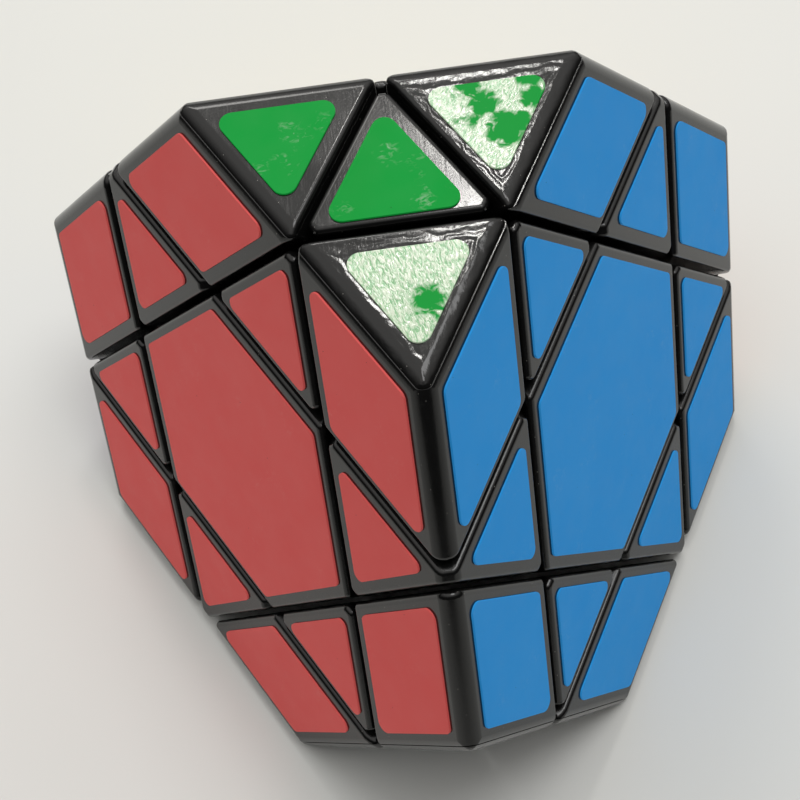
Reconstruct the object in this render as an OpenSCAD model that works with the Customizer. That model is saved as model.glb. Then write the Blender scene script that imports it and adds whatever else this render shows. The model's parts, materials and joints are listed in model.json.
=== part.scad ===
// Twisty puzzle in the shape of a truncated tetrahedron: four hexagon faces and four triangle
// faces, cut by eight planes, one parallel to each face. Every outer piece is a cell between
// those planes. Four tip layers turn about the axes through the triangles.
//
// Frame: millimetres, +Z up. The puzzle lies on its white hexagon, the green triangle is on top,
// and the origin is the centre of the base, on the surface that it stands on.
// Tips and faces share their numbers: face N is the hexagon opposite the triangle of tip N.

/* [Puzzle] */
// Edge length of the truncated tetrahedron
edge = 36; // [35:0.5:44]
// Gap between neighbouring pieces
gap = 0.5; // [0.4:0.05:0.6]
// Width of the flat bevel along the puzzle's outer edges
outer_bevel = 1.3; // [1:0.1:2.2]
// Width of the chamfer along the cuts
cut_bevel = 0.7; // [0.4:0.1:0.9]
// Thickness of the glued cap on each three-colour corner
cap_t = 0.6; // [0.5:0.1:1]

/* [Stickers] */
// Thickness of the vinyl
sticker_t = 0.2; // [0.1:0.05:0.3]
// Bare margin between a sticker and a cut
cut_margin = 1.6; // [1.4:0.1:2]
// Bare margin beside an outer edge where two hexagons meet
hexagon_margin = 2.6; // [2.3:0.1:3]
// Bare margin beside an outer edge where a hexagon meets a triangle
triangle_margin = 2; // [1.8:0.1:2.5]

/* [Mechanism] */
// Radius of the core's ball
core_r = 5.8; // [5.5:0.1:6]
// Distance from the middle of the puzzle to the face of each core boss
boss_h = 7; // [6.9:0.1:7]
// Radius of the core bosses
boss_r = 3.3; // [3:0.1:3.4]
// Running clearance of the feet in their grooves
clearance = 0.3; // [0.25:0.05:0.35]
// Radius of the screw shank
screw_r = 1.25; // [1.2:0.05:1.3]
// Length of the screw shank
screw_len = 12; // [11.5:0.5:12]
// Turns in each spring
spring_turns = 5; // [4:1:6]

/* [Hidden] */
$fn = 64;

TIPS = ["green", "orange", "purple", "grey"];
FACES = ["white", "red", "blue", "yellow"];
COLOURS = [["green", "#1ca446"], ["orange", "#f08a24"], ["purple", "#7a4fa3"], ["grey", "#9a9a9c"],
    ["white", "#f2f2ee"], ["red", "#b4504c"], ["blue", "#3e84be"], ["yellow", "#f2d33c"]];
PLASTIC = "#262626";
STEEL = "#b8bcc0";
function colour_of(name) = COLOURS[search([name], COLOURS)[0]][1];

// The other tips of each tip, starting with the face that lies at 0 degrees in its own frame
OTHERS = [[3, 1, 2], [0, 3, 2], [0, 1, 3], [0, 2, 1]];
EDGES = [[0, 1], [0, 2], [0, 3], [1, 2], [1, 3], [2, 3]];
AZIMUTH = [90, 30, 150, 270];

// Distances from the middle of the puzzle. The unit is the depth of a face cut.
unit_h = edge * sqrt(6) / 12;
face_cut = unit_h;
face_h = 3 * unit_h;
tip_cut = 3 * unit_h;
tip_h = 5 * unit_h;
cap_h = tip_h - cap_t;
middle_z = face_h + sticker_t;

// Angle between the axes of two tips, and between a face's axis and the vertical
tip_angle = acos(-1 / 3);
face_angle = 180 - tip_angle;
reach = 2 * edge;
seam_turn = 23;

// Spherical cavity under the pieces, with the foot disc and neck of each edge piece
cavity_r = 12.9;
edge_foot_r = 5.5;
edge_foot = [10.2, 11.4];
edge_neck_r = 2.2;
edge_neck = [11, 17.5];

// Stem and foot disc of each tip point, along the tip's axis
point_stem_r = 2.6;
point_stem = [14, 30.5];
point_foot_r = 4.6;
point_foot = [13.2, 14.8];

// Groove under each tip layer, as radius and height along the tip's axis
groove_r = [7, 9.5, 11.2];
groove_h = [16.8, 18.2, 23];
foot_span = 46;

// Screw, washer and spring in each face centre, as heights along the face's axis
stem_r = 3.6;
stem_bottom = boss_h + 0.1;
shoulder_t = 1.6;
pocket_r = 2.8;
spring_r = 2.1;
wire_r = 0.25;
spring_h = [stem_bottom + shoulder_t + 0.15, 14.35];
washer_h = 14.4;
washer_t = 0.5;
head_r = 2.3;
head_t = 1.6;
plug_r = 4;
plug_t = 1.5;
peg_r = 1.2;
peg_len = 2.4;

function unit(v) = v / norm(v);
function polar(tilt, az) = [sin(tilt) * cos(az), sin(tilt) * sin(az), cos(tilt)];
function tip_axis(i) = i == 0 ? [0, 0, 1] : polar(tip_angle, AZIMUTH[i]);
function others(i, j) = [for (k = [0:3]) if (k != i && k != j) k];

// A plane is [outward unit normal, distance from the middle]
function tip_plane(i) = [tip_axis(i), tip_h];
function face_plane(j) = [-tip_axis(j), face_h];
function above_tip_cut(i, g = gap) = [-tip_axis(i), -tip_cut - g / 2];
function below_tip_cut(i, g = gap) = [tip_axis(i), tip_cut - g / 2];
function above_face_cut(j, g = gap) = [tip_axis(j), -face_cut - g / 2];
function below_face_cut(j, g = gap) = [-tip_axis(j), face_cut - g / 2];

// Plane that bevels the edge between planes p and q to a flat strip of width w
function bevel_plane(p, q, w) =
    let (c = p[0] * q[0])
    [unit(p[0] + q[0]), (p[1] + q[1]) / norm(p[0] + q[0]) - w / 2 * sqrt((1 - c) / (1 + c))];

// Plane at right angles to p, a margin m inside the line where q crosses p
function side_plane(p, q, m) =
    let (c = p[0] * q[0], s = sqrt(1 - c * c))
    [(q[0] - c * p[0]) / s, (q[1] - c * p[1]) / s - m];

function outer_bevels(outer) =
    [for (i = [0:len(outer) - 1], j = [0:len(outer) - 1]) if (j > i)
        bevel_plane(outer[i], outer[j], outer_bevel)];
function cut_bevels(outer, cuts) =
    [for (p = outer, q = cuts) if (p[0] * q[0] > -0.9) bevel_plane(p, q, cut_bevel)];

// ---------- shared shapes, in the frame of the puzzle's middle ----------

module half_space(plane) {
    n = plane[0];
    rotate([0, acos(n[2]), atan2(n[1], n[0])])
    translate([-reach, -reach, plane[1] - 2 * reach])
    cube(2 * reach);
}

module cell(outer, cuts) {
    intersection_for (plane = concat(outer, cuts, outer_bevels(outer), cut_bevels(outer, cuts)))
        half_space(plane);
}

function edge_margin(p, q) = max(p[1], q[1]) > face_h ? triangle_margin : hexagon_margin;

module sticker(face, edges, cuts) {
    sides = concat([for (q = edges) side_plane(face, q, edge_margin(face, q))],
                   [for (q = cuts) side_plane(face, q, cut_margin)]);
    slab = [[face[0], face[1] + sticker_t], [-face[0], -face[1]]];
    intersection_for (plane = concat(slab, sides))
        half_space(plane);
}

module along_tip(i) {
    if (i == 0)
        rotate([0, 0, AZIMUTH[0]]) children();
    else
        rotate([0, tip_angle, AZIMUTH[i]]) children();
}

module along_face(j) {
    if (j == 0)
        rotate([180, 0, AZIMUTH[0]]) children();
    else
        rotate([0, face_angle, AZIMUTH[j] + 180]) children();
}

// The extra turn keeps the seam line of a cylinder away from the corners of the cell around it
module along_edge(j, k) {
    e = unit(-tip_axis(j) - tip_axis(k));
    rotate([0, acos(e[2]), atan2(e[1], e[0])])
    rotate([0, 0, seam_turn])
    children();
}

module shaft(r, from, to) {
    translate([0, 0, from]) cylinder(r = r, h = to - from);
}

// Azimuth of face j in the frame of tip i
function face_azimuth(i, j) = 120 * search([j], OTHERS[i])[0];

// One foot that runs in the groove of a tip layer
module layer_foot(az) {
    profile = [[groove_r[0], groove_h[0]], [groove_r[2], groove_h[0]], [groove_r[2], groove_h[1]],
        [groove_r[1], groove_h[1]], [groove_r[1], groove_h[2]], [groove_r[0], groove_h[2]]];
    rotate([0, 0, az - foot_span / 2])
    rotate_extrude(angle = foot_span)
    polygon(profile);
}

// Everything that is cut from the pieces under tip i: its groove and the hole of its point
module tip_socket(i) {
    c = clearance;
    top = tip_cut + 1;
    profile = [[groove_r[0] - c, groove_h[0] - c], [groove_r[2] + c, groove_h[0] - c],
        [groove_r[2] + c, groove_h[1] + c], [groove_r[1] + c, groove_h[1] + c],
        [groove_r[1] + c, top], [groove_r[0] - c, top]];
    along_tip(i) {
        rotate_extrude() polygon(profile);
        shaft(point_stem_r + c, point_foot[0], top);
        shaft(point_foot_r + c, point_foot[0] - 1.5, point_foot[1] + c);
    }
}

// ---------- pieces of a tip layer ----------

module tip_point(i) {
    cell([tip_plane(i)], [for (j = OTHERS[i]) above_face_cut(j)]);
    along_tip(i) {
        shaft(point_stem_r, point_stem[0], point_stem[1]);
        shaft(point_foot_r, point_foot[0], point_foot[1]);
    }
}

module point_hole(i) {
    along_tip(i) shaft(point_stem_r + clearance, tip_cut - 1, point_stem[1] - 0.3);
}

// Cell of the three-colour corner of tip i that doesn't touch face l
module corner_cell(i, l) {
    jk = others(i, l);
    cell([tip_plane(i), face_plane(jk[0]), face_plane(jk[1])],
         [above_tip_cut(i), above_face_cut(jk[0]), above_face_cut(jk[1]), below_face_cut(l)]);
}

// Peg and socket between a corner and its cap, near the middle of the cap
module corner_peg(i, l, r, depth) {
    along_tip(i)
    rotate([0, 0, face_azimuth(i, l) + 180])
    translate([edge * sqrt(3) / 6, 0, 0])
    shaft(r, cap_h - depth, cap_h + cap_t / 2);
}

module tip_corner(i, l) {
    difference() {
        union() {
            intersection() {
                corner_cell(i, l);
                half_space([tip_axis(i), cap_h]);
            }
            along_tip(i) layer_foot(face_azimuth(i, l) + 180);
        }
        point_hole(i);
        corner_peg(i, l, peg_r + 0.05, peg_len + 0.1);
    }
}

module tip_caps(i) {
    for (l = OTHERS[i]) {
        intersection() {
            corner_cell(i, l);
            half_space([-tip_axis(i), -cap_h]);
        }
        corner_peg(i, l, peg_r, peg_len);
    }
}

module tip_wings(i) {
    for (j = OTHERS[i]) {
        kl = others(i, j);
        difference() {
            union() {
                cell([face_plane(j), tip_plane(i)],
                     [above_tip_cut(i), below_face_cut(kl[0]), below_face_cut(kl[1])]);
                along_tip(i) layer_foot(face_azimuth(i, j));
            }
            point_hole(i);
        }
    }
}

// The four triangle stickers on the end of tip i
module tip_end_stickers(i) {
    sticker(tip_plane(i), [], [for (j = OTHERS[i]) above_face_cut(j, 0)]);
    for (l = OTHERS[i]) {
        jk = others(i, l);
        sticker(tip_plane(i), [face_plane(jk[0]), face_plane(jk[1])], [below_face_cut(l, 0)]);
    }
}

// The stickers on tip i that lie in face j: one wing and two corners
module tip_side_stickers(i, j) {
    kl = others(i, j);
    sticker(face_plane(j), [],
            [above_tip_cut(i, 0), below_face_cut(kl[0], 0), below_face_cut(kl[1], 0)]);
    for (k = kl)
        sticker(face_plane(j), [tip_plane(i), face_plane(k)],
                [above_tip_cut(i, 0), above_face_cut(k, 0)]);
}

// ---------- pieces that the tip layers turn against ----------

module face_centre(j) {
    o = OTHERS[j];
    difference() {
        union() {
            difference() {
                cell([face_plane(j)],
                     concat([above_face_cut(j)], [for (k = o) below_face_cut(k)],
                            [for (i = o) below_tip_cut(i)]));
                sphere(r = cavity_r);
            }
            along_face(j) shaft(stem_r, stem_bottom, cavity_r + 2);
        }
        for (i = o) tip_socket(i);
        for (k = o) along_edge(j, k) shaft(edge_neck_r + clearance, edge_foot[0], edge_neck[1]);
        along_face(j) {
            shaft(screw_r + 0.2, boss_h, cavity_r);
            shaft(pocket_r, stem_bottom + shoulder_t, face_h);
            shaft(plug_r, face_h - plug_t, face_h + 1);
        }
    }
}

module centre_plugs() {
    for (j = [0:3])
        along_face(j) shaft(plug_r - 0.05, face_h - plug_t, face_h);
}

module face_edge(j, k) {
    il = others(j, k);
    difference() {
        union() {
            cell([face_plane(j), face_plane(k)],
                 [above_face_cut(j), above_face_cut(k),
                  below_tip_cut(il[0]), below_tip_cut(il[1])]);
            along_edge(j, k) {
                shaft(edge_neck_r, edge_neck[0], edge_neck[1]);
                shaft(edge_foot_r, edge_foot[0], edge_foot[1]);
            }
        }
        for (i = il) tip_socket(i);
    }
}

// The stickers of face j on its centre and its three edge pieces
module face_stickers(j) {
    o = OTHERS[j];
    sticker(face_plane(j), [],
            concat([for (k = o) below_face_cut(k, 0)], [for (i = o) below_tip_cut(i, 0)]));
    for (k = o) {
        il = others(j, k);
        sticker(face_plane(j), [],
                [above_face_cut(k, 0), below_tip_cut(il[0], 0), below_tip_cut(il[1], 0)]);
    }
}

module core() {
    difference() {
        union() {
            sphere(r = core_r);
            for (j = [0:3]) along_face(j) shaft(boss_r, core_r / 2, boss_h);
        }
        for (j = [0:3]) along_face(j) shaft(screw_r + 0.02, washer_h - screw_len, boss_h + 1);
    }
}

module screws() {
    under_head = washer_h + washer_t;
    for (j = [0:3])
        along_face(j) difference() {
            union() {
                shaft(screw_r, under_head - screw_len, under_head + 0.5);
                shaft(head_r, under_head, under_head + head_t);
            }
            for (a = [0, 90])
                rotate([0, 0, a])
                translate([-1.4, -0.25, under_head + head_t - 0.9])
                cube([2.8, 0.5, 2]);
        }
}

module washers() {
    for (j = [0:3])
        along_face(j) difference() {
            shaft(head_r + 0.2, washer_h, washer_h + washer_t);
            shaft(screw_r + 0.15, washer_h - 1, washer_h + washer_t + 1);
        }
}

// Closed tube of six sides along the helix of one spring
module spring() {
    sides = 6;
    steps = 12 * spring_turns;
    rise = spring_h[1] - spring_h[0] - 2 * wire_r;
    function at(s, a) =
        let (r = spring_r + wire_r * cos(a), t = 30 * s)
        [r * cos(t), r * sin(t), spring_h[0] + wire_r + rise * s / steps + wire_r * sin(a)];
    points = [for (s = [0:steps], m = [0:sides - 1]) at(s, 360 * m / sides)];
    walls = [for (s = [0:steps - 1], m = [0:sides - 1])
        let (n = (m + 1) % sides, b = sides * s)
        [b + m, b + n, b + n + sides, b + m + sides]];
    first = [for (m = [sides - 1:-1:0]) m];
    last = [for (m = [0:sides - 1]) sides * steps + m];
    polyhedron(points, concat(walls, [first, last]), 6);
}

module springs() {
    for (j = [0:3]) along_face(j) spring();
}

// ---------- nodes ----------

function tip_nodes(i) =
    let (t = str(TIPS[i], "_tip"), o = OTHERS[i])
    concat([str(t, "_point"), str(t, "_wings"), str(t, "_caps"), str(t, "_end_stickers")],
           [for (l = o) corner_name(i, l)],
           [for (j = o) str(t, "_", FACES[j], "_stickers")]);
function corner_name(i, l) =
    let (jk = others(i, l))
    str(TIPS[i], "_tip_corner_", FACES[jk[0]], "_", FACES[jk[1]]);
function edge_name(e) = str("edge_", FACES[e[0]], "_", FACES[e[1]]);

NODES = concat(["core", "screws", "washers", "springs", "centre_plugs"],
    [for (f = FACES) str(f, "_centre")], [for (e = EDGES) edge_name(e)],
    [for (f = FACES) str(f, "_stickers")], [for (i = [0:3]) each tip_nodes(i)]);
node = "all";

function shown(name) = node == "all" || node == name;

translate([0, 0, middle_z]) {
    if (shown("core")) color(STEEL) core();
    if (shown("screws")) color(STEEL) screws();
    if (shown("washers")) color(STEEL) washers();
    if (shown("springs")) color(STEEL) springs();
    if (shown("centre_plugs")) color(PLASTIC) centre_plugs();
    for (e = EDGES)
        if (shown(edge_name(e))) color(PLASTIC) face_edge(e[0], e[1]);
    for (j = [0:3]) {
        if (shown(str(FACES[j], "_centre"))) color(PLASTIC) face_centre(j);
        if (shown(str(FACES[j], "_stickers"))) color(colour_of(FACES[j])) face_stickers(j);
    }
    for (i = [0:3]) {
        t = str(TIPS[i], "_tip");
        if (shown(str(t, "_point"))) color(PLASTIC) tip_point(i);
        if (shown(str(t, "_wings"))) color(PLASTIC) tip_wings(i);
        if (shown(str(t, "_caps"))) color(PLASTIC) tip_caps(i);
        if (shown(str(t, "_end_stickers"))) color(colour_of(TIPS[i])) tip_end_stickers(i);
        for (j = OTHERS[i]) {
            if (shown(corner_name(i, j))) color(PLASTIC) tip_corner(i, j);
            if (shown(str(t, "_", FACES[j], "_stickers")))
                color(colour_of(FACES[j])) tip_side_stickers(i, j);
        }
    }
}
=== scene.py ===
import bmesh
import bpy
import itertools
import json
import math
import numpy as np
from collections import namedtuple
from mathutils import Matrix, Vector


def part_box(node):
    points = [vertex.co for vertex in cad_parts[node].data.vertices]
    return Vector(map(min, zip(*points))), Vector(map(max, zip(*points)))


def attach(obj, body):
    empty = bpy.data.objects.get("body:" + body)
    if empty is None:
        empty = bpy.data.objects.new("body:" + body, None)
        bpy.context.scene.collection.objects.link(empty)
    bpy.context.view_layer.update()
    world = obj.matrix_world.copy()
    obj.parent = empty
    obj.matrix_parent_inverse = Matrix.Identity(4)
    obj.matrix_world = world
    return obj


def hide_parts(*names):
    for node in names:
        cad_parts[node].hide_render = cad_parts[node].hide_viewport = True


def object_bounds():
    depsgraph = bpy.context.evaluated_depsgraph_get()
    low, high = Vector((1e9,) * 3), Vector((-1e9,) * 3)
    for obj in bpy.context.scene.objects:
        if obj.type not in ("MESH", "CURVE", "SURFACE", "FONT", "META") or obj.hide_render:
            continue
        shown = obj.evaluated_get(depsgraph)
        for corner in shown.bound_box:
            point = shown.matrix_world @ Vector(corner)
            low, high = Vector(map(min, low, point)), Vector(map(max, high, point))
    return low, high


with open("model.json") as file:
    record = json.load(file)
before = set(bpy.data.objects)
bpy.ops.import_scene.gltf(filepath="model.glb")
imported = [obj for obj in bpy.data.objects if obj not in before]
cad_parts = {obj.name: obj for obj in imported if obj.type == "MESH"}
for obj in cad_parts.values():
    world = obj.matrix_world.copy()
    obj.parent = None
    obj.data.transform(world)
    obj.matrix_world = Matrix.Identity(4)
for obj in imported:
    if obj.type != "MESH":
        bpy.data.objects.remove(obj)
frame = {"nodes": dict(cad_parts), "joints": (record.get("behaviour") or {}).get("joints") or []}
cad_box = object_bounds()

# ---------- sizes, in millimetres from the middle of the puzzle ----------

MM = 0.001
TIPS = ["green", "orange", "purple", "grey"]
FACES = ["white", "red", "blue", "yellow"]
EVERY = range(4)
EDGES = list(itertools.combinations(EVERY, 2))

white_low, white_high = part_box("white_stickers")
STICKER_T = (white_high.z - white_low.z) / MM
UNIT = (cad_box[1].z / MM - 2 * STICKER_T) / 8
EDGE = 12 * UNIT / math.sqrt(6)
TIP_H = 5 * UNIT        # from the middle to a triangle face
FACE_H = 3 * UNIT       # to a hexagon face
TIP_CUT_H = 3 * UNIT    # to the cut under a triangle face
FACE_CUT_H = UNIT       # to the cut under a hexagon face
MIDDLE = Vector((0, 0, FACE_H + STICKER_T)) * MM

GAP = 0.5               # seam between two pieces
CUT_ROUND = 0.55        # radius along the cut edges
CORNER_TRIM = 0.75      # taken off a sharp edge between two cuts
OUTER_CHORD = 2.45      # rounded outer edge, measured straight from face to face
VERTEX_RADIUS = 0.62 * OUTER_CHORD
CAP_T = 0.6             # glued cap of a corner
SEAM = 0.09             # seam under the cap
CUT_MARGIN = 1.6        # bare plastic between a sticker and a cut
TIP_MARGIN = 2.0        # the same beside the edge of a triangle face
HEX_MARGIN = 2.6        # the same beside the edge between two hexagon faces
STICKER_EDGE = 0.03     # softened rim of a sticker
POINT_ROUND = 1.1       # corner radius of the triangle-face stickers
KITE_ROUND = 0.9        # corner radius of the stickers on the hexagon sides of the corners
SMALL_ROUND = 0.75      # corner radius of the other stickers
SIDE_SHARE = 0.4        # most of a side that a round corner takes
SAME = 1e-4             # points closer than this are one point
SAME_ANGLE = 1e-9

PARALLEL = 1e-5         # normals that span less than this don't meet in a point
ARC_STEP = math.radians(24)
FILLET_STEP = math.radians(15)
OUTLINE_STEP = math.radians(12)
ODD_DIRECTION = [0.31, 0.87, 0.39]   # not parallel to the normal of any plane here

joint_axis = {j["child"]: np.array(j["axis"], float) for j in frame["joints"]}
AXIS = [joint_axis[t + "_tip"] / np.linalg.norm(joint_axis[t + "_tip"]) for t in TIPS]

# A plane is the outward unit normal and the distance from the middle. A plane that is part of a
# round edge also has that edge's axis, as (point, direction), for its smooth shading.
Plane = namedtuple("Plane", "n d axis", defaults=[None])


def unit(v):
    return v / np.linalg.norm(v)


def angle_between(a, b):
    return math.acos(max(-1.0, min(1.0, float(a @ b))))


def others(*used):
    """The tips or faces, by number, that aren't used."""
    return [k for k in EVERY if k not in used]


def tip_body(i):
    return TIPS[i] + "_tip"


def neighbours(items):
    """Each item with the next, and the last with the first."""
    return zip(items, items[1:] + items[:1])


def tip_plane(i):
    return Plane(AXIS[i], TIP_H)


def face_plane(j):
    return Plane(-AXIS[j], FACE_H)


def above_tip_cut(i, gap=GAP):
    return Plane(-AXIS[i], -TIP_CUT_H - gap / 2)


def below_tip_cut(i, gap=GAP):
    return Plane(AXIS[i], TIP_CUT_H - gap / 2)


def above_face_cut(j, gap=GAP):
    return Plane(AXIS[j], -FACE_CUT_H - gap / 2)


def below_face_cut(j, gap=GAP):
    return Plane(-AXIS[j], FACE_CUT_H - gap / 2)


def turned(a, b, t):
    """Unit vector that is the share t of the way round from a to b."""
    angle = angle_between(a, b)
    if angle < SAME_ANGLE:
        return a
    return (math.sin((1 - t) * angle) * a + math.sin(t * angle) * b) / math.sin(angle)


def fillet(p, q):
    """Planes that round the edge between p and q, all touching one cylinder."""
    turn = angle_between(p.n, q.n)
    radius = OUTER_CHORD / (2 * math.sin(turn / 2))
    along = unit(np.cross(p.n, q.n))
    centre = np.linalg.solve([p.n, q.n, along], [p.d - radius, q.d - radius, 0])
    count = round(turn / FILLET_STEP) - 1
    normals = [turned(p.n, q.n, k / (count + 1)) for k in range(1, count + 1)]
    return [Plane(n, n @ centre + radius, (centre, along)) for n in normals]


def fillets(planes):
    return [f for p, q in itertools.combinations(planes, 2) for f in fillet(p, q)]


def corner_trims(cuts):
    """Planes that blunt the sharp edges between two cuts."""
    trims = []
    for p, q in itertools.combinations(cuts, 2):
        if p.n @ q.n < 0:
            out = p.n + q.n
            size = np.linalg.norm(out)
            trims.append(Plane(out / size, (p.d + q.d) / size - CORNER_TRIM))
    return trims


def vertex_round(planes):
    """Plane that takes the point off the vertex where three outer planes meet."""
    distances = [p.d - VERTEX_RADIUS for p in planes]
    centre = np.linalg.solve([p.n for p in planes], distances)
    n = unit(sum(p.n for p in planes))
    return Plane(n, n @ centre + VERTEX_RADIUS)


# ---------- mesh of a convex cell with rounded edges ----------


def corners_of(planes):
    """Corner points of the cell behind all planes, and the planes that meet at each."""
    n = np.array([p.n for p in planes])
    d = np.array([p.d for p in planes])
    triples = np.array(list(itertools.combinations(range(len(planes)), 3)))
    triples = triples[abs(np.linalg.det(n[triples])) > PARALLEL]
    found = np.linalg.solve(n[triples], d[triples][..., None])[..., 0]
    found = found[(found @ n.T <= d + SAME / 2).all(1)]
    points = []
    for x in found:
        if all(np.linalg.norm(x - y) > SAME for y in points):
            points.append(x)
    meet = [set(np.flatnonzero(abs(n @ x - d) < SAME)) for x in points]
    shown = {p for p in range(len(planes)) if sum(p in m for m in meet) > 2}
    return points, [m & shown for m in meet]


def round_about(normal, items, place):
    """Items in anticlockwise order about normal, each item at the point place(item)."""
    side = unit(np.cross(normal, ODD_DIRECTION))
    up = np.cross(normal, side)
    middle = sum(place(i) for i in items) / len(items)

    def bearing(i):
        away = place(i) - middle
        return math.atan2(away @ up, away @ side)

    return sorted(items, key=bearing)


class CellMesh:
    """The cell behind some planes, with a ball of radius CUT_ROUND rolled along every edge."""

    def __init__(self, planes):
        self.planes = planes
        inner = [Plane(p.n, p.d - CUT_ROUND) for p in planes]
        self.points, self.meet = corners_of(inner)
        self.verts = []
        self.normals = []
        self.index = {}
        self.faces = []
        for p in range(len(planes)):
            self.add_plane(p)
        for c in range(len(self.points)):
            self.add_corner(c)

    def shading(self, c, p):
        """Normal at corner c on plane p: round an outer edge it points away from its axis."""
        plane = self.planes[p]
        if plane.axis is None:
            return plane.n
        point, along = plane.axis
        away = self.points[c] + CUT_ROUND * plane.n - point
        return unit(away - (away @ along) * along)

    def steps(self, p, q):
        """Number of strips that round the edge between planes p and q."""
        turn = angle_between(self.planes[p].n, self.planes[q].n)
        return max(1, math.ceil(turn / ARC_STEP - 1e-6))

    def vertex(self, c, p, q, t):
        """Vertex at corner c, t steps along the arc from plane p to plane q."""
        count = self.steps(p, q)
        if q < p:
            p, q, t = q, p, count - t
        key = (c, p, q, t)
        if t in (0, count):
            key = (c, q if t else p)
        if key not in self.index:
            share = t / count
            self.index[key] = len(self.verts)
            direction = turned(self.planes[p].n, self.planes[q].n, share)
            self.verts.append(self.points[c] + CUT_ROUND * direction)
            self.normals.append(turned(self.shading(c, p), self.shading(c, q), share))
        return self.index[key]

    def add_plane(self, p):
        """The flat face on plane p, and the round edges to planes of a higher number."""
        loop = [c for c, m in enumerate(self.meet) if p in m]
        if len(loop) < 3:
            return
        loop = round_about(self.planes[p].n, loop, lambda c: self.points[c])
        for u, w in neighbours(loop):
            q = next(q for q in self.meet[u] & self.meet[w] if q != p)
            if p < q:
                for t in range(self.steps(p, q)):
                    self.faces.append([self.vertex(w, p, q, t), self.vertex(u, p, q, t),
                                       self.vertex(u, p, q, t + 1), self.vertex(w, p, q, t + 1)])
        near = {c: next(q for q in self.meet[c] if q != p) for c in loop}
        self.faces.append([self.vertex(c, p, near[c], 0) for c in loop])

    def add_corner(self, c):
        """The part of the ball at corner c."""
        ring = list(self.meet[c])
        out = unit(sum(self.planes[p].n for p in ring))
        ring = round_about(out, ring, lambda p: self.planes[p].n)
        rim = [self.vertex(c, p, q, t) for p, q in neighbours(ring)
               for t in range(self.steps(p, q))]
        self.verts.append(self.points[c] + CUT_ROUND * out)
        self.normals.append(unit(sum(self.shading(c, p) for p in ring)))
        top = len(self.verts) - 1
        self.faces += [[top, u, w] for u, w in neighbours(rim)]


def cell_bmesh(planes):
    """The cell as a mesh that keeps its shading normals in the layer shade."""
    cell = CellMesh(planes)
    bm = bmesh.new()
    shade = bm.verts.layers.float_vector.new("shade")
    verts = [bm.verts.new(v) for v in cell.verts]
    for v, n in zip(verts, cell.normals):
        v[shade] = Vector(n)
    for f in cell.faces:
        bm.faces.new([verts[i] for i in f]).smooth = True
    return bm


def slice_off(bm, plane):
    """Cuts away what lies beyond plane and closes the mesh with one flat face."""
    geometry = bm.verts[:] + bm.edges[:] + bm.faces[:]
    n = Vector(plane.n)
    cut = bmesh.ops.bisect_plane(bm, geom=geometry, dist=1e-5, plane_co=n * plane.d, plane_no=n,
                                 clear_outer=True)["geom_cut"]
    rim = [e for e in cut if isinstance(e, bmesh.types.BMEdge)]
    face = bmesh.ops.contextual_create(bm, geom=rim)["faces"][0]
    face.smooth = False
    face.normal_update()
    if face.normal.dot(n) < 0:
        face.normal_flip()


def make_object(name, bm, material, body, node):
    """Turns bm, in millimetres from the middle, into a piece that stands for a CAD node."""
    mesh = bpy.data.meshes.new(name)
    shade = bm.verts.layers.float_vector["shade"]
    bm.normal_update()
    normals = [loop.vert[shade].normalized() if face.smooth else face.normal.copy()
               for face in bm.faces for loop in face.loops]
    bm.verts.layers.float_vector.remove(shade)
    bm.to_mesh(mesh)
    bm.free()
    mesh.shade_smooth()
    mesh.normals_split_custom_set(normals)
    mesh.transform(Matrix.Translation(MIDDLE) @ Matrix.Scale(MM, 4))
    mesh.materials.append(material)
    piece = bpy.data.objects.new(name, mesh)
    bpy.context.scene.collection.objects.link(piece)
    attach(piece, body)
    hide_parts(node)


# ---------- procedural materials ----------


def linear(hex_colour):
    """Linear colour of an sRGB hex code."""
    parts = [int(hex_colour[k:k + 2], 16) / 255 for k in (1, 3, 5)]
    parts = [p / 12.92 if p < 0.04045 else ((p + 0.055) / 1.055) ** 2.4 for p in parts]
    return (*parts, 1)


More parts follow.
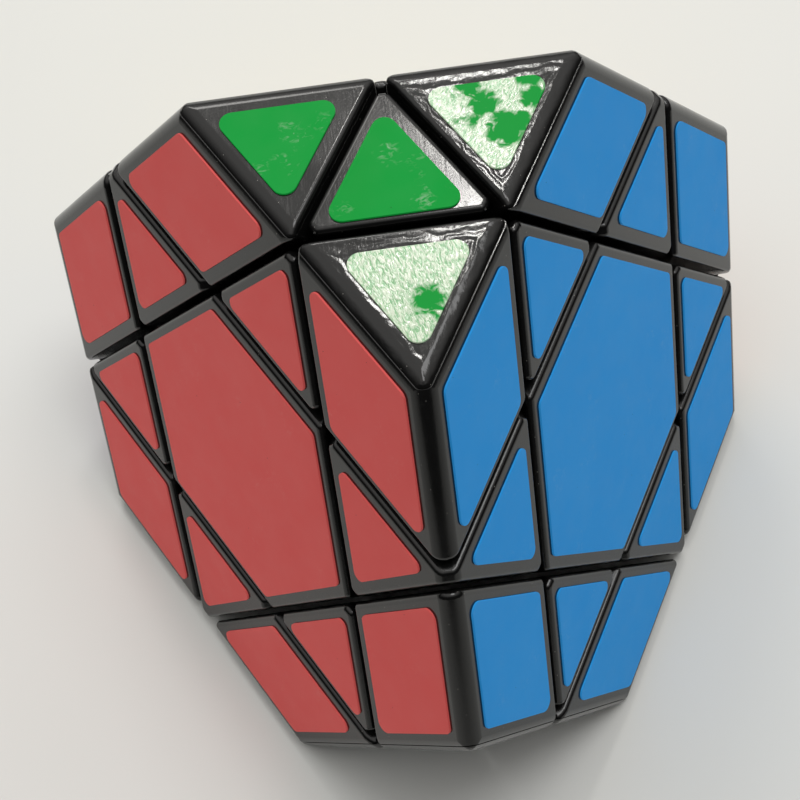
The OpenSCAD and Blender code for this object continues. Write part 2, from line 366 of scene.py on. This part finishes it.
class Nodes:
    """Short calls that build the node tree of one material."""

    def __init__(self, name):
        self.material = bpy.data.materials.new(name)
        self.material.use_nodes = True
        self.tree = self.material.node_tree
        self.shader = self.tree.nodes["Principled BSDF"]
        self.place = self.tree.nodes.new("ShaderNodeTexCoord").outputs["Object"]

    def add(self, kind, inputs=(), **settings):
        """A new node with these inputs, each a value or another node's output."""
        node = self.tree.nodes.new("ShaderNode" + kind)
        for key, value in settings.items():
            setattr(node, key, value)
        for key, value in dict(inputs).items():
            self.put(value, node.inputs[key])
        return node

    def put(self, value, socket):
        if isinstance(value, bpy.types.NodeSocket):
            self.tree.links.new(value, socket)
        else:
            socket.default_value = value

    def set(self, name, value):
        """Sets or links an input of the shader."""
        self.put(value, self.shader.inputs[name])

    def stretched(self, stretch, at=None):
        """Coordinates that make a pattern longer along the axes with a scale under 1."""
        inputs = {"Vector": at or self.place, "Scale": stretch}
        return self.add("Mapping", inputs).outputs["Vector"]

    def noise(self, size, detail=3.0, distortion=0.0, at=None):
        """Noise whose spots are about size millimetres wide."""
        inputs = {"Vector": at or self.place, "Scale": 1 / (size * MM), "Detail": detail,
                  "Distortion": distortion}
        return self.add("TexNoise", inputs).outputs["Fac"]

    def ramp(self, value, low, high, to_low=0.0, to_high=1.0):
        """Value from low to high, mapped to the range from to_low to to_high and kept in it."""
        inputs = {"Value": value, "From Min": low, "From Max": high, "To Min": to_low,
                  "To Max": to_high}
        return self.add("MapRange", inputs).outputs["Result"]

    def mix(self, factor, a, b):
        node = self.add("Mix", data_type="RGBA")
        self.put(factor, node.inputs[0])
        self.put(a, node.inputs[6])
        self.put(b, node.inputs[7])
        return node.outputs[2]

    def maths(self, operation, a, b):
        node = self.add("Math", operation=operation)
        self.put(a, node.inputs[0])
        self.put(b, node.inputs[1])
        return node.outputs[0]

    def bump(self, height, depth, strength=1.0, before=None):
        """Bump with a depth in millimetres."""
        node = self.add("Bump", {"Height": height, "Distance": depth * MM, "Strength": strength})
        if before is not None:
            self.put(before, node.inputs["Normal"])
        return node.outputs["Normal"]

    def beyond(self, planes):
        """Distance in millimetres outside the region behind all planes, negative within it."""
        distance = None
        for p in planes:
            inputs = {0: self.place, 1: p.n / MM}
            along = self.add("VectorMath", inputs, operation="DOT_PRODUCT").outputs["Value"]
            here = self.maths("SUBTRACT", along, p.d + p.n @ np.array(MIDDLE) / MM)
            distance = here if distance is None else self.maths("MAXIMUM", distance, here)
        return distance

    def specks(self, size, share):
        """1 on a few dots that are about size millimetres wide, 0 elsewhere."""
        cells = self.add("TexVoronoi", {"Vector": self.place, "Scale": 1 / (size * 6 * MM)})
        dot = self.ramp(cells.outputs["Distance"], 0.08, 0.05)
        pick = self.add("SeparateColor", {"Color": cells.outputs["Color"]}).outputs[0]
        return self.maths("MULTIPLY", dot, self.maths("LESS_THAN", pick, share))


BLACK = "#0c0c0c"

# Sizes in the patterns of the materials, in millimetres
HAZE = 7.0
SCRATCH = 0.16
GRAIN = 0.12
DUST = 0.09
WANDER = 2.2            # how soon the glue's ripples stray from the outline
RIPPLE_DEPTH = 0.009
FADED_PATCH = 14.0
SCUFF = 0.5
SCUFFED_PATCH = 3.5
VINYL_GRAIN = 0.09
CRINKLE = 0.2
CRINKLE_DEPTH = 0.05
RAGGED = 0.8            # how far the edge of a bare spot strays

RIPPLE_TURN = 6.5       # radians of the glue's ripples in a millimetre


def moulded_plastic(name, colour, low=0.11, high=0.19, around=()):
    """Moulded plastic: soft sheen, handling haze, fine scratches and a little dust.

    Its roughness goes from low to high. Ripples of glue follow the outline that the planes of
    around enclose."""
    m = Nodes(name)
    haze = m.noise(HAZE, detail=4.0, distortion=0.6)
    scratch = m.noise(SCRATCH, detail=2.0, at=m.stretched((1.0, 0.07, 0.3)))
    rubbed = m.ramp(scratch, 0.55, 0.8, 0, 0.1)
    m.set("Roughness", m.maths("ADD", m.ramp(haze, 0.3, 0.7, low, high), rubbed))
    dusty = m.mix(m.ramp(haze, 0.45, 0.8, 0.0, 0.3), linear(colour), linear("#1d1c1b"))
    m.set("Base Color", m.mix(m.specks(DUST, 0.22), dusty, linear("#8d8a84")))
    grain = m.bump(m.noise(GRAIN, detail=2.0), 0.004)
    normal = m.bump(scratch, 0.006, 0.6, grain)
    if around:
        normal = glue_ripples(m, m.beyond(around), normal)
    m.set("Normal", normal)
    m.set("Specular IOR Level", 0.42)
    return m.material


def glue_ripples(m, away, before):
    """Normal of a film of dried glue that runs out with the distance away from a sticker."""
    wander = m.ramp(m.noise(WANDER), 0, 1, 0, 11)
    phase = m.maths("ADD", m.maths("MULTIPLY", away, RIPPLE_TURN), wander)
    fading = m.ramp(away, 0.2, 2.8, 1.0, 0.35)
    ripples = m.maths("MULTIPLY", m.maths("SINE", phase, 0.0), fading)
    return m.bump(ripples, RIPPLE_DEPTH, 1.0, before)


def vinyl(name, colour, faded, scuffed=0.06):
    """Matt vinyl sticker: slight fading, faint scuffs and a very fine grain."""
    m = Nodes(name)
    cloud = m.noise(FADED_PATCH, distortion=0.4)
    tone = m.mix(m.ramp(cloud, 0.3, 0.7), linear(colour), linear(faded))
    marks = m.noise(SCUFF, detail=6.0, distortion=1.0, at=m.stretched((0.7, 1.0, 0.8)))
    patches = m.ramp(m.noise(SCUFFED_PATCH), 0.56, 0.7)
    scuffs = m.maths("MULTIPLY", m.ramp(marks, 0.52, 0.72, 0, scuffed), patches)
    tone = m.mix(scuffs, tone, linear("#e7e7e5"))
    m.set("Base Color", m.mix(m.specks(0.1, 0.03), tone, linear("#1b1b1b")))
    m.set("Roughness", m.ramp(m.noise(2.5, detail=4.0), 0.3, 0.7, 0.46, 0.6))
    m.set("Normal", m.bump(m.noise(VINYL_GRAIN, detail=2.0), 0.003))
    m.set("Specular IOR Level", 0.09)
    return m.material


def film_cover(m, spots):
    """1 under the film and 0 in its bare spots, which have ragged edges."""
    ragged = m.ramp(m.noise(1.0, detail=6.0, distortion=0.6), 0.25, 0.75, -RAGGED, RAGGED)
    film = None
    for point, radius in spots:
        centre = MIDDLE + Vector(point) * MM
        away = m.add("VectorMath", {0: m.place, 1: centre}, operation="DISTANCE").outputs["Value"]
        inside = m.maths("ADD", m.maths("DIVIDE", away, MM), ragged)
        cover = m.ramp(inside, radius - 0.3, radius + 0.3)
        film = cover if film is None else m.maths("MINIMUM", film, cover)
    return film


def filmed_vinyl(name, colour, lean, spots):
    """Sticker under a crinkled clear film that catches the light, with bare spots in the film.
    Under the film its colour is lightened as painted glare, most on the crinkles as painted
    glints.

    lean is the direction of the crinkles; a spot is (point on the sticker, radius), both in
    millimetres."""
    m = Nodes(name)
    film = film_cover(m, spots)
    leaning = m.add("Mapping", {"Vector": m.place, "Rotation": (0, 0, lean)}).outputs["Vector"]
    along = m.stretched((1.0, 0.35, 1.0), leaning)
    crinkle = m.noise(CRINKLE, detail=4.0, distortion=0.8, at=along)
    # Painted glare: under the film the base colour is lightened, most on the crinkles, to stand
    # for the lamp's glints
    pale = m.maths("MULTIPLY", film, m.ramp(crinkle, 0.4, 0.58, 0.25, 0.85))
    m.set("Base Color", m.mix(pale, linear(colour), linear("#c6ceba")))
    m.set("Roughness", m.ramp(film, 0, 1, 0.5, 0.14))
    height = m.maths("MULTIPLY", crinkle, m.ramp(film, 0, 1, 0.05, 1.0))
    m.set("Normal", m.bump(height, CRINKLE_DEPTH))
    m.set("Specular IOR Level", m.ramp(film, 0, 1, 0.1, 1.0))
    return m.material


def brushed_steel(name):
    m = Nodes(name)
    streak = m.noise(0.2, at=m.stretched((1.0, 1.0, 0.1)))
    tint = m.ramp(m.noise(2.0), 0.3, 0.7)
    m.set("Base Color", m.mix(tint, linear("#b9bcc0"), linear("#96999c")))
    m.set("Roughness", m.ramp(streak, 0.3, 0.7, 0.22, 0.4))
    m.set("Normal", m.bump(streak, 0.01))
    m.set("Metallic", 1.0)
    return m.material


# Colour of each sticker, the same colour where it has faded, and how much scuffs show on it
VINYL = {
    "green": ("#028c32", "#049138", 0.28), "orange": ("#e8772a", "#ea8236"),
    "purple": ("#6f479b", "#774fa2"), "grey": ("#8f9194", "#989a9d"),
    "white": ("#eceae4", "#f1efe9"), "red": ("#f36563", "#f56b69"),
    "blue": ("#2d9dee", "#33a0ef"), "yellow": ("#edc52f", "#efcb3c"),
}
black = moulded_plastic("black_plastic", BLACK)
sticker_material = {c: vinyl("sticker_" + c, *VINYL[c]) for c in VINYL}

# The film on the front and the right corner of the green tip, keyed by the face that each corner
# doesn't touch. Bare spots are placed from the sticker's centre, along x and y.
CORNER_IN = EDGE * math.sqrt(3) / 6   # from a tip's axis to the centre of a corner's triangle
BARE_SPOTS = {3: (math.radians(-12), [(1.4, -2.1, 1.3)]),
              1: (math.radians(35), [(1.1, -2.3, 1.9), (3.9, 3.1, 1.6), (-0.6, 0.4, 1.2),
                                     (-2.0, -1.1, 0.7), (-1.7, 2.4, 1.1), (3.6, 0.3, 1.2)])}


def film_on(missing):
    """Material of the filmed green sticker on the corner that doesn't touch the face missing."""
    lean, spots = BARE_SPOTS[missing]
    outward = AXIS[missing] * np.array([1, 1, 0])
    centre = AXIS[0] * TIP_H + unit(outward) * CORNER_IN
    placed = [(centre + np.array([x, y, 0]), radius) for x, y, radius in spots]
    return filmed_vinyl("sticker_green_film_" + FACES[missing], VINYL["green"][0], lean, placed)


filmed = {missing: film_on(missing) for missing in BARE_SPOTS}

# ---------- plastic pieces ----------


def plastic_piece(name, outer, cuts, body, node, blunt=True):
    """A black piece behind its outer planes and its cuts; blunt takes off their sharp edges."""
    planes = outer + cuts + (corner_trims(cuts) if blunt else [])
    make_object(name, cell_bmesh(planes), black, body, node)


def tip_point(i):
    body = tip_body(i)
    name = body + "_point"
    outer = [tip_plane(i)] + [f for j in others(i) for f in fillet(tip_plane(i), face_plane(j))]
    cuts = [above_face_cut(j) for j in others(i)]
    plastic_piece(name + "_piece", outer, cuts, body, name)


def tip_wing(i, j):
    k, l = others(i, j)
    outer = [face_plane(j)] + fillet(face_plane(j), tip_plane(i))
    cuts = [above_tip_cut(i), below_face_cut(k), below_face_cut(l)]
    body = tip_body(i)
    plastic_piece(f"{body}_wing_{FACES[j]}_piece", outer, cuts, body, body + "_wings")


def tip_corner(i, missing):
    """Corner of tip i on the two faces other than missing, and its glued cap."""
    j, k = others(i, missing)
    outer = [tip_plane(i), face_plane(j), face_plane(k)]
    planes = outer + fillets(outer) + [vertex_round(outer)]
    cuts = [above_tip_cut(i), above_face_cut(j), above_face_cut(k), below_face_cut(missing)]
    planes += cuts + corner_trims(cuts)
    seam_h = TIP_H - CAP_T
    body = tip_body(i)
    name = f"{FACES[j]}_{FACES[k]}"
    corner, cap = cell_bmesh(planes), cell_bmesh(planes)
    slice_off(corner, Plane(AXIS[i], seam_h - SEAM / 2))
    slice_off(cap, Plane(-AXIS[i], -seam_h - SEAM / 2))
    node = f"{body}_corner_{name}"
    make_object(node + "_piece", corner, black, body, node)
    plastic = rippled[missing] if i == 0 and missing in filmed else black
    make_object(f"{body}_cap_{name}_piece", cap, plastic, body, body + "_caps")


def face_centre(j):
    cuts = [above_face_cut(j)] + [below_face_cut(k) for k in others(j)]
    cuts += [below_tip_cut(i) for i in others(j)]
    name = FACES[j] + "_centre"
    plastic_piece(name + "_piece", [face_plane(j)], cuts, "root", name, blunt=False)


def face_edge(j, k):
    i, l = others(j, k)
    outer = [face_plane(j), face_plane(k)]
    cuts = [above_face_cut(j), above_face_cut(k), below_tip_cut(i), below_tip_cut(l)]
    name = f"edge_{FACES[j]}_{FACES[k]}"
    plastic_piece(name + "_piece", outer + fillets(outer), cuts, "root", name)


# ---------- stickers ----------

# Stickers that were put on a little out of place: how far, along x, y and z
HAND_SET = {"green_point": (-0.25, -0.5, 0), "green_corner_red_blue": (0.2, -0.45, 0),
            "green_corner_blue_yellow": (0, -0.55, 0), "green_corner_red_yellow": (-0.3, -0.2, 0)}


def side_plane(p, q, margin):
    """Plane at right angles to p, a margin inside the line where q crosses p."""
    c = p.n @ q.n
    s = math.sqrt(1 - c * c)
    return Plane((q.n - c * p.n) / s, (q.d - c * p.d) / s - margin)


def rounded_outline(corners, radius):
    """Each corner of a flat outline replaced by points of an arc, with the way out at each."""
    outline = []
    count = len(corners)
    for k, at in enumerate(corners):
        back, on = corners[k - 1] - at, corners[(k + 1) % count] - at
        half = angle_between(unit(back), unit(on)) / 2
        reach = min(np.linalg.norm(back), np.linalg.norm(on)) * SIDE_SHARE
        r = min(radius, reach * math.tan(half))
        centre = at + unit(unit(back) + unit(on)) * r / math.sin(half)
        start = unit(at + unit(back) * r / math.tan(half) - centre)
        end = unit(at + unit(on) * r / math.tan(half) - centre)
        steps = max(3, math.ceil((math.pi - 2 * half) / OUTLINE_STEP))
        ways = [turned(start, end, t / steps) for t in range(steps + 1)]
        outline += [(centre + r * out, out) for out in ways]
    return outline


def edge_margin(p, q):
    """Bare margin beside the outer edge between p and q."""
    return TIP_MARGIN if TIP_H in (p.d, q.d) else HEX_MARGIN


def sticker_sides(name, face, edges, cuts):
    """Side planes of a sticker, in the place where it was put on."""
    sides = [side_plane(face, q, edge_margin(face, q)) for q in edges]
    sides += [side_plane(face, q, CUT_MARGIN) for q in cuts]
    shift = np.array(HAND_SET.get(name, (0, 0, 0)), float)
    return [Plane(p.n, p.d + p.n @ shift) for p in sides]


def sticker_outline(face, sides, radius):
    """Points round a sticker's lower side, with round corners, and the way out at each."""
    below = Plane(-face.n, -face.d)
    above = Plane(face.n, face.d + STICKER_T)
    points, meet = corners_of([below] + sides + [above])
    base = [p for p, m in zip(points, meet) if 0 in m]
    order = round_about(face.n, range(len(base)), lambda k: base[k])
    return rounded_outline([base[k] for k in order], radius)


# Rings of a sticker's rim: height over the face, distance inside the outline, and how far the
# shading leans out and up
RIM = [(0, 0, 0.6, 0.8), (STICKER_T - STICKER_EDGE, 0, 0.6, 0.8),
       (STICKER_T - STICKER_EDGE * 0.3, STICKER_EDGE * 0.3, 0.3, 0.95),
       (STICKER_T, STICKER_EDGE, 0, 1)]


def sticker_bmesh(outline, up):
    """A closed sheet on the outline, with a softened upper rim."""
    bm = bmesh.new()
    shade = bm.verts.layers.float_vector.new("shade")
    rings = []
    for height, inset, lean_out, lean_up in RIM:
        ring = []
        for point, out in outline:
            v = bm.verts.new(point - out * inset + up * height)
            v[shade] = Vector(lean_out * out + lean_up * up)
            ring.append(v)
        rings.append(ring)
    for low, high in zip(rings, rings[1:]):
        for (a, b), (d, c) in zip(neighbours(low), neighbours(high)):
            bm.faces.new([a, b, c, d]).smooth = True
    bm.faces.new(rings[-1]).smooth = True
    bm.faces.new(rings[0][::-1]).smooth = False
    return bm


def sticker(name, face, edges, cuts, radius, colour, body, node, material=None):
    """A vinyl sticker on a face, between its outer edges and its cuts."""
    outline = sticker_outline(face, sticker_sides(name, face, edges, cuts), radius)
    make_object("sticker_" + name, sticker_bmesh(outline, face.n),
                material or sticker_material[colour], body, node)


def corner_sticker_place(i, missing):
    """Name, face, edges and cuts of the sticker on a corner's triangle side."""
    j, k = others(i, missing)
    return (f"{TIPS[i]}_corner_{FACES[j]}_{FACES[k]}", tip_plane(i),
            [face_plane(j), face_plane(k)], [below_face_cut(missing, 0)])


def tip_end_stickers(i):
    """Stickers on the triangle face of tip i."""
    tip, body = TIPS[i], tip_body(i)
    node = body + "_end_stickers"
    sticker(f"{tip}_point", tip_plane(i), [], [above_face_cut(j, 0) for j in others(i)],
            POINT_ROUND, tip, body, node)
    for missing in others(i):
        sticker(*corner_sticker_place(i, missing), POINT_ROUND, tip, body, node,
                filmed.get(missing) if i == 0 else None)


def tip_side_stickers(i, j):
    """Stickers of tip i's layer on the hexagon face j."""
    tip, face, body = TIPS[i], FACES[j], tip_body(i)
    k, l = others(i, j)
    node = f"{body}_{face}_stickers"
    sticker(f"{face}_{tip}_wing", face_plane(j), [],
            [above_tip_cut(i, 0), below_face_cut(k, 0), below_face_cut(l, 0)], SMALL_ROUND, face,
            body, node)
    for other in (k, l):
        sticker(f"{face}_{tip}_corner_{FACES[other]}", face_plane(j),
                [tip_plane(i), face_plane(other)],
                [above_tip_cut(i, 0), above_face_cut(other, 0)], KITE_ROUND, face, body, node)


def face_stickers(j):
    """Stickers of a hexagon face on the pieces that stay with the core."""
    face = FACES[j]
    node = face + "_stickers"
    cuts = [below_face_cut(k, 0) for k in others(j)] + [below_tip_cut(i, 0) for i in others(j)]
    sticker(face + "_centre", face_plane(j), [], cuts, SMALL_ROUND, face, "root", node)
    for k in others(j):
        i, l = others(j, k)
        cuts = [above_face_cut(k, 0), below_tip_cut(i, 0), below_tip_cut(l, 0)]
        sticker(f"{face}_edge_{FACES[k]}", face_plane(j), [], cuts, SMALL_ROUND, face, "root",
                node)


def rippled_plastic(missing):
    """Plastic of the green cap that has a film on it, with ripples of glue round its sticker."""
    sides = sticker_sides(*corner_sticker_place(0, missing))
    name = "black_plastic_rippled_" + FACES[missing]
    return moulded_plastic(name, BLACK, low=0.1, high=0.16, around=sides)


rippled = {missing: rippled_plastic(missing) for missing in filmed}

for i in EVERY:
    tip_point(i)
    tip_end_stickers(i)
    for j in others(i):
        tip_wing(i, j)
        tip_corner(i, j)
        tip_side_stickers(i, j)
    face_centre(i)
    face_stickers(i)
for j, k in EDGES:
    face_edge(j, k)


def carry(node, material):
    """Gives a CAD node that is shown as it is its finished material."""
    mesh = frame["nodes"][node].data
    mesh.materials.clear()
    mesh.materials.append(material)


steel = brushed_steel("steel")
carry("core", moulded_plastic("core_plastic", "#d9d6cd"))
carry("centre_plugs", black)
for name in ("screws", "washers", "springs"):
    carry(name, steel)

# ---------- floor, light and camera ----------

FLOOR_HALF = 1.5
BRIGHT_SIDE = (0, 0.45, 0.95)         # direction of the bright part of the room
WARM = (1, 0.98, 0.94)
SHINE = Vector((7 * MM, -2 * MM, cad_box[1].z))   # middle of the glare on the green face
GLARE_FAR = 0.5
KEY_AT = Vector((-0.1, 0.52, 0.45))
TOP_AT = Vector((0.13, 0.05, 0.5))


def add_floor():
    bm = bmesh.new()
    bmesh.ops.create_grid(bm, x_segments=1, y_segments=1, size=FLOOR_HALF)
    mesh = bpy.data.meshes.new("floor")
    bm.to_mesh(mesh)
    bm.free()
    m = Nodes("pale_floor")
    m.set("Base Color", m.mix(m.noise(60.0, detail=2.0), linear("#d3d4d1"), linear("#d7d8d6")))
    m.set("Roughness", 1.0)
    m.set("Specular IOR Level", 0.1)
    mesh.materials.append(m.material)
    floor = bpy.data.objects.new("floor", mesh)
    bpy.context.scene.collection.objects.link(floor)


def add_world():
    """A pale room that is darker near the horizon and towards the viewer."""
    world = bpy.data.worlds.new("studio")
    bpy.context.scene.world = world
    world.use_nodes = True
    tree = world.node_tree
    place = tree.nodes.new("ShaderNodeTexCoord")
    across = tree.nodes.new("ShaderNodeVectorMath")
    across.operation = "DOT_PRODUCT"
    across.inputs[1].default_value = BRIGHT_SIDE
    ramp = tree.nodes.new("ShaderNodeValToRGB")
    dark, bright = ramp.color_ramp.elements
    dark.position = 0.4
    dark.color = (0.04, 0.04, 0.04, 1)
    bright.position = 0.85
    bright.color = (1.0, 0.98, 0.95, 1)
    tree.links.new(place.outputs["Generated"], across.inputs[0])
    tree.links.new(across.outputs["Value"], ramp.inputs["Fac"])
    tree.links.new(ramp.outputs["Color"], tree.nodes["Background"].inputs["Color"])
    tree.nodes["Background"].inputs["Strength"].default_value = 1.2


def add_area(name, at, towards, size, power, colour=(1, 1, 1)):
    """A round lamp, size metres across, that shines with power watts."""
    light = bpy.data.lights.new(name, "AREA")
    light.shape = "DISK"
    light.size = size
    light.energy = power
    light.color = colour
    lamp = bpy.data.objects.new(name, light)
    lamp.location = at
    lamp.rotation_mode = "QUATERNION"
    lamp.rotation_quaternion = (at - towards).to_track_quat("Z", "Y")
    bpy.context.scene.collection.objects.link(lamp)


CAMERA_AZIMUTH = math.radians(0.5)
CAMERA_ELEVATION = math.radians(63.86)
CAMERA_ROLL = math.radians(8.22)
CAMERA_DISTANCE = 169.2 * MM
CAMERA_LENS = 74.08
AIM = Vector((-2.12, -2.24, 21.16)) * MM


def add_camera():
    """Sets the scene's camera and returns the point that it looks from."""
    level = math.cos(CAMERA_ELEVATION)
    back = Vector((math.sin(CAMERA_AZIMUTH) * level, -math.cos(CAMERA_AZIMUTH) * level,
                   math.sin(CAMERA_ELEVATION)))
    right = Vector((0, 0, 1)).cross(back).normalized()
    up = back.cross(right)
    turn = Matrix.Rotation(-CAMERA_ROLL, 3, back)
    axes = Matrix((turn @ right, turn @ up, back)).transposed()
    camera = bpy.data.objects.new("camera", bpy.data.cameras.new("camera"))
    camera.data.lens = CAMERA_LENS
    camera.data.clip_start = CAMERA_DISTANCE / 20
    camera.data.clip_end = 10
    camera.matrix_world = Matrix.Translation(AIM + back * CAMERA_DISTANCE) @ axes.to_4x4()
    bpy.context.scene.collection.objects.link(camera)
    bpy.context.scene.camera = camera
    return camera.matrix_world.translation.copy()


eye = add_camera()
add_floor()
add_world()
view = (eye - SHINE).normalized()
mirrored = Vector((-view.x, -view.y, view.z))
add_area("glare", SHINE + mirrored * GLARE_FAR, SHINE, 0.04, 0.27, WARM)
add_area("key", KEY_AT, MIDDLE, 0.25, 1.05, WARM)
add_area("top", TOP_AT, MIDDLE, 0.24, 0.7)

bpy.context.scene.view_settings.view_transform = "Standard"
